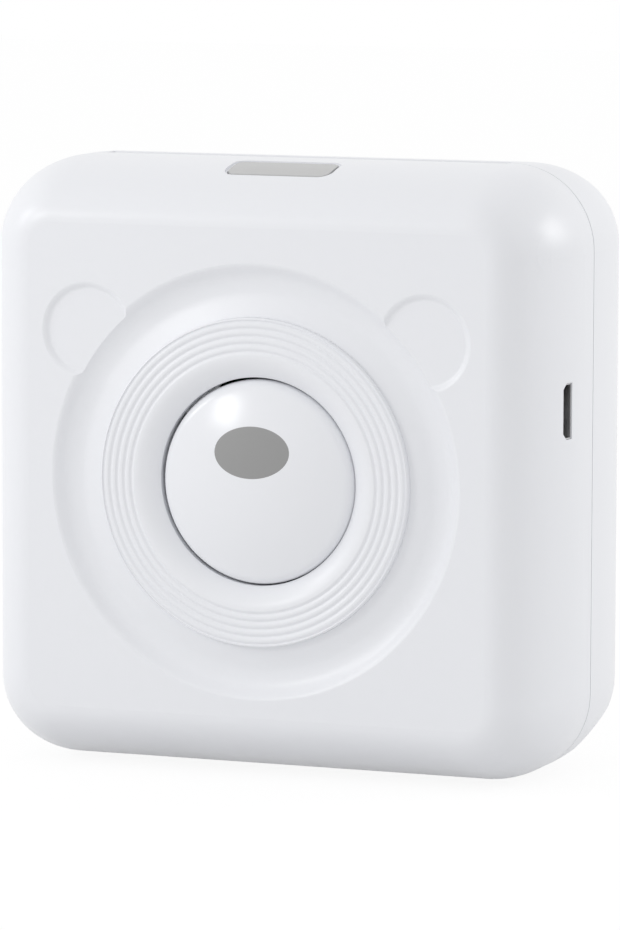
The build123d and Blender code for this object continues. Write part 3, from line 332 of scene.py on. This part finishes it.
def makeRing():
    # Grooved ring: a profile of radius and depth, turned about the face's centre line.
    # From the lip the front rises as one minus a power of what is left of the way, then runs level;
    # each groove is a cosine wave
    slope = np.linspace(0.0, 1.0, ring["slopeSteps"])
    slopeRadius = ring["inner"] + (ring["crest"] - ring["inner"]) * slope
    rise = 1.0 - (1.0 - slope) ** ring["steep"]
    slopeDepth = ring["lip"] - (ring["lip"] + ring["proud"]) * rise
    level = np.linspace(ring["crest"], ring["outer"] - ring["proud"], ring["levelSteps"])[1:]
    levelDepth = np.full(level.shape, -ring["proud"])
    for groove in range(ring["grooves"]):
        away = np.abs(level - ring["grooveFirst"] - groove * ring["groovePitch"]) / ring["grooveHalf"]
        levelDepth += ring["grooveDepth"] * np.where(away < 1.0, 0.5 + 0.5 * np.cos(np.pi * away), 0.0)
    turn = np.linspace(0.0, np.pi / 2, ring["edgeSteps"])[1:]
    edgeRadius = ring["outer"] - ring["proud"] + ring["proud"] * np.sin(turn)
    edgeDepth = -ring["proud"] * np.cos(turn)
    radii = np.concatenate([[ring["inner"]], slopeRadius, level, edgeRadius, [ring["outer"]]])
    depths = np.concatenate([[ring["seat"]], slopeDepth, levelDepth, edgeDepth, [ring["seat"]]])
    points = turnedPoints(radii, depths, ring["around"], faceUp)
    faces = gridFaces(len(radii), ring["around"], closeRows=True)
    obj = meshPiece("ringPiece", points, faces, finishes["white_shell"], "front_unit", "button_ring")
    obj.data.set_sharp_from_angle(angle=math.radians(ring["sharpDegrees"]))


makeRing()

button = {
    "radius": 13.9 * mm,
    "sphere": 36.0 * mm,
    "crest": -1.735 * mm,
    "round": 1.9 * mm,
    "skirt": 0.9 * mm,
    "hollow": 1.65 * mm,
    "tabFront": 3.5 * mm,
    "tabBack": 4.3 * mm,
    "tabReach": 1.3 * mm,
    "tabWidth": 6.0 * mm,
    "tabTurns": (50, 130, 205, 335),
    "stem": 1.7 * mm,
    "rib": 1.0 * mm,
    "around": 240,
    "aside": 0.19 * mm,
    "down": 0.05 * mm,
    "hollowRound": 0.3 * mm,
    "edgeEnd": 2.9 * mm,
    "stemRound": 0.2 * mm,
    "stemSink": 0.4 * mm,
    "ribSink": 0.2 * mm,
    "frontSteps": 46,
    "roundSteps": 16,
    "stemAround": 48,
    "sharpDegrees": 40,
}
mark = {
    "halfWidth": 5.4 * mm,
    "halfHeight": 3.5 * mm,
    "up": 4.3 * mm,
    "proud": 0.012 * mm,
    "edge": 0.12 * mm,
    "sink": 0.15 * mm,
    "around": 128,
    "edgeSteps": 6,
    "rings": 16,
}


def domeDepth(radius):
    # Depth of the button's front, a spherical cap, at a distance from its centre
    return button["crest"] + button["sphere"] - np.sqrt(button["sphere"] ** 2 - radius ** 2)


def closedTurn(radii, depths, around, up):
    # Points and faces of a turned body whose profile starts and ends on the axis, with one point at each pole
    inner = turnedPoints(radii[1:-1], depths[1:-1], around, up)
    poles = np.array([[0.0, frontY + depths[0], up], [0.0, frontY + depths[-1], up]])
    faces = gridFaces(len(radii) - 2, around, firstPoint=2)
    last = 2 + (len(radii) - 3) * around
    for i in range(around):
        j = (i + 1) % around
        faces.append([0, 2 + i, 2 + j])
        faces.append([1, last + j, last + i])
    return np.concatenate([poles, inner]), faces


def arcBar(nearRadius, farRadius, nearDepth, farDepth, start, end, steps):
    # Bar bent about the face's centre line: a four-cornered profile carried along an arc, with its ends closed
    angle = np.linspace(start, end, steps)[:, None]
    radii = np.array([nearRadius, farRadius, farRadius, nearRadius])
    depths = np.array([nearDepth, nearDepth, farDepth, farDepth])
    points = np.stack([radii * np.cos(angle), np.repeat(frontY + depths[None, :], steps, axis=0),
                       faceUp + radii * np.sin(angle)], axis=-1).reshape(-1, 3)
    last = 4 * (steps - 1)
    faces = gridFaces(steps, 4) + [[3, 2, 1, 0], [last, last + 1, last + 2, last + 3]]
    return points, faces


def joined(parts):
    # One list of points and faces out of several
    points, faces, count = [], [], 0
    for somePoints, someFaces in parts:
        points.append(somePoints)
        faces += [[corner + count for corner in face] for face in someFaces]
        count += len(somePoints)
    return np.concatenate(points), faces


def buttonInside():
    # Stem to the lever, four tabs that keep the button in, and four ribs behind the dome
    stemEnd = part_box("cover_button")[1][1] - frontY
    radii = np.array([0.0, button["stem"], button["stem"], button["stem"] - button["stemRound"], 0.0])
    root = button["hollow"] - button["stemSink"]
    depths = np.array([root, root, stemEnd - button["stemRound"], stemEnd, stemEnd])
    parts = [closedTurn(radii, depths, button["stemAround"], faceUp)]
    bore = button["radius"] - button["skirt"]
    halfTab = math.asin(button["tabWidth"] / 2 / button["radius"])
    for turn in button["tabTurns"]:
        middle = math.radians(turn)
        parts.append(arcBar(bore, button["radius"] + button["tabReach"], button["tabFront"], button["tabBack"],
                            middle - halfTab, middle + halfTab, 16))
    ribTurn = button["rib"] / button["radius"] / 2  # half the angle of a rib
    ribFront = button["hollow"] - button["ribSink"]
    for quarter in range(4):
        middle = math.radians(45 + 90 * quarter)
        parts.append(arcBar(button["stem"] / 2, bore, ribFront, ribFront + button["rib"],
                            middle - ribTurn, middle + ribTurn, 3))
    return parts


def makeButton():
    # Domed button that lies a little low and aside in its hole: a spherical front that turns over a round edge
    # into the skirt, hollow behind, with four tabs, a stem and four ribs
    corner = (button["radius"] - button["round"]) / (1.0 - button["round"] / button["sphere"])
    lean = math.asin(corner / button["sphere"])
    front = np.linspace(0.0, corner, button["frontSteps"])
    frontDepth = domeDepth(front)
    turn = np.linspace(lean, math.pi / 2, button["roundSteps"])[1:]
    middle = (button["radius"] - button["round"], float(frontDepth[-1]) + button["round"] * math.cos(lean))
    edge = middle[0] + button["round"] * np.sin(turn)
    edgeDepth = middle[1] - button["round"] * np.cos(turn)
    bore = button["radius"] - button["skirt"]
    hollow, hollowRound = button["hollow"], button["hollowRound"]
    behind = np.array([button["radius"], button["radius"], bore, bore, bore - hollowRound, 0.0])
    behindDepth = np.array([button["edgeEnd"], button["tabFront"], button["tabFront"], hollow + hollowRound,
                            hollow, hollow])
    dome = closedTurn(np.concatenate([front, edge, behind]),
                      np.concatenate([frontDepth, edgeDepth, behindDepth]), button["around"], faceUp)
    points, faces = joined([dome] + buttonInside())
    points = points + np.array([button["aside"], 0.0, -button["down"]])
    obj = meshPiece("buttonPiece", points, faces, finishes["white_button"], "cover_button", "cover_button")
    obj.data.set_sharp_from_angle(angle=math.radians(button["sharpDegrees"]))


def makeMark():
    # Plain oval on the dome: a grid of rings that shrink towards the middle, lifted off the dome by a thin film
    around = mark["around"]
    edge = np.linspace(0.0, 1.0, mark["edgeSteps"])[1:]
    size = np.concatenate([[1.0, 1.0], 1.0 - edge * mark["edge"] / mark["halfHeight"],
                           np.linspace(0.93, 0.05, mark["rings"])])
    lift = np.concatenate([[-mark["sink"], 0.0], mark["proud"] * np.sin(edge * math.pi / 2),
                           np.full(mark["rings"], mark["proud"])])
    angle = np.linspace(0.0, 2 * np.pi, around, endpoint=False)
    x = size[:, None] * mark["halfWidth"] * np.cos(angle)
    z = mark["up"] + size[:, None] * mark["halfHeight"] * np.sin(angle)
    y = frontY + domeDepth(np.hypot(x, z)) - lift[:, None]
    rings = np.stack([x, y, z + faceUp], axis=-1).reshape(-1, 3)
    low = frontY + float(domeDepth(mark["up"]))
    middleUp = faceUp + mark["up"]
    ends = np.array([[0.0, low + mark["sink"], middleUp], [0.0, low - mark["proud"], middleUp]])
    faces = gridFaces(len(size), around, firstPoint=2, flip=True)
    last = 2 + (len(size) - 1) * around
    for i in range(around):
        j = (i + 1) % around
        faces.append([0, 2 + i, 2 + j])
        faces.append([1, last + j, last + i])
    points = np.concatenate([ends, rings]) + np.array([button["aside"], 0.0, -button["down"]])
    meshPiece("markPiece", points, faces, finishes["grey_print"], "cover_button", "nose_mark")


makeButton()
makeMark()

camera = {
    "azimuth": 22.08,
    "elevation": 6.84,
    "roll": 0.10,
    "distance": 787.43 * mm,
    "focal": 5850.0,
    "centreX": 253.26,
    "centreY": 474.79,
    "frameWidth": 620,
    "frameHeight": 930,
}


def makeCamera():
    # Camera that matches the photograph: looks at the middle of the front plane, with a small shift.
    data = bpy.data.cameras.new("camera")
    obj = bpy.data.objects.new("camera", data)
    bpy.context.scene.collection.objects.link(obj)
    a, e, r = (math.radians(camera[k]) for k in ("azimuth", "elevation", "roll"))
    back = Vector((math.sin(a) * math.cos(e), -math.cos(a) * math.cos(e), math.sin(e)))
    right = Vector((math.cos(a), math.sin(a), 0.0))
    up = back.cross(right)
    rolledRight = math.cos(r) * right + math.sin(r) * up
    rolledUp = math.cos(r) * up - math.sin(r) * right
    target = Vector((0.0, frontY, body["midUp"]))
    place = target + back * camera["distance"]
    turn = Matrix((rolledRight, rolledUp, back)).transposed().to_4x4()
    obj.matrix_world = Matrix.Translation(place) @ turn
    longSide = camera["frameHeight"]
    data.sensor_width = 36.0
    data.sensor_fit = "AUTO"
    data.lens = camera["focal"] * data.sensor_width / longSide
    data.shift_x = (camera["frameWidth"] / 2 - camera["centreX"]) / longSide
    data.shift_y = (camera["centreY"] - camera["frameHeight"] / 2) / longSide
    data.clip_start = 0.01
    data.clip_end = 50.0
    bpy.context.scene.camera = obj


makeCamera()

studio = {
    "floorColour": (0.8, 0.8, 0.8),
    "floorGlow": 0.88,
    "glowStrength": 1.04,
    "worldStrength": 0.79,
}
# Each lamp: direction from the object, distance in metres, size in metres, power in watts
lamps = {
    "keyLamp": ((-0.56, -0.75, 0.37), 0.6, 0.12, 0.42),
    "leftLamp": ((-0.82, -0.38, 0.42), 0.6, 0.16, 0.42),
    "sideLamp": ((0.78, 0.52, 0.36), 0.9, 0.3, 1.35),
}


def areaLamp(name, place, target, size, power):
    # Square soft lamp that points at a target.
    data = bpy.data.lights.new(name, "AREA")
    data.energy = power
    data.size = size
    obj = bpy.data.objects.new(name, data)
    obj.location = place
    direction = Vector(target) - Vector(place)
    obj.rotation_euler = direction.to_track_quat("-Z", "Y").to_euler()
    bpy.context.scene.collection.objects.link(obj)


def seenDirectly(graph):
    # 1 for what the camera, a mirror or a glass shows, 0 for light that falls on things
    path = graph.node("ShaderNodeLightPath")
    direct = graph.out(path, "Is Camera Ray").maths("MAXIMUM", graph.out(path, "Is Glossy Ray"))
    return direct.maths("MAXIMUM", graph.out(path, "Is Transmission Ray"))


def makeStudio():
    # Plain pale floor, white world for the camera, and soft lamps.
    world = bpy.data.worlds.new("studio")
    bpy.context.scene.world = world
    world.use_nodes = True
    graph = Graph("studio", world.node_tree)
    graph.tree.nodes.clear()
    lightBack = graph.node("ShaderNodeBackground", {},
                           {"Color": (1.0, 1.0, 1.0), "Strength": studio["worldStrength"]})
    whiteBack = graph.node("ShaderNodeBackground", {}, {"Color": (1.0, 1.0, 1.0), "Strength": 1.0})
    both = graph.node("ShaderNodeMixShader", {}, {0: seenDirectly(graph), 1: graph.out(lightBack),
                                                  2: graph.out(whiteBack)})
    graph.node("ShaderNodeOutputWorld", {}, {0: graph.out(both)})
    bpy.ops.mesh.primitive_plane_add(size=4.0, location=(0.0, 0.0, -0.0005))
    floor = bpy.context.object
    floor.name = "floor"
    graph = Graph("floorWhite")
    graph.set(colour=studio["floorColour"], rough=0.9)
    glow = graph.node("ShaderNodeEmission", {}, {"Color": (1.0, 1.0, 1.0), "Strength": studio["glowStrength"]})
    both = graph.node("ShaderNodeMixShader", {}, {0: seenDirectly(graph) * studio["floorGlow"],
                                                  1: graph.out(graph.shader), 2: graph.out(glow)})
    graph.tree.links.new(both.outputs[0], graph.tree.nodes["Material Output"].inputs[0])
    floor.data.materials.append(graph.material)
    middle = Vector((0.0, 0.0, body["midUp"]))
    for name, (direction, distance, size, power) in lamps.items():
        areaLamp(name, middle + Vector(direction).normalized() * distance, middle, size, power)


makeStudio()
view = bpy.context.scene.view_settings
view.view_transform = "Standard"
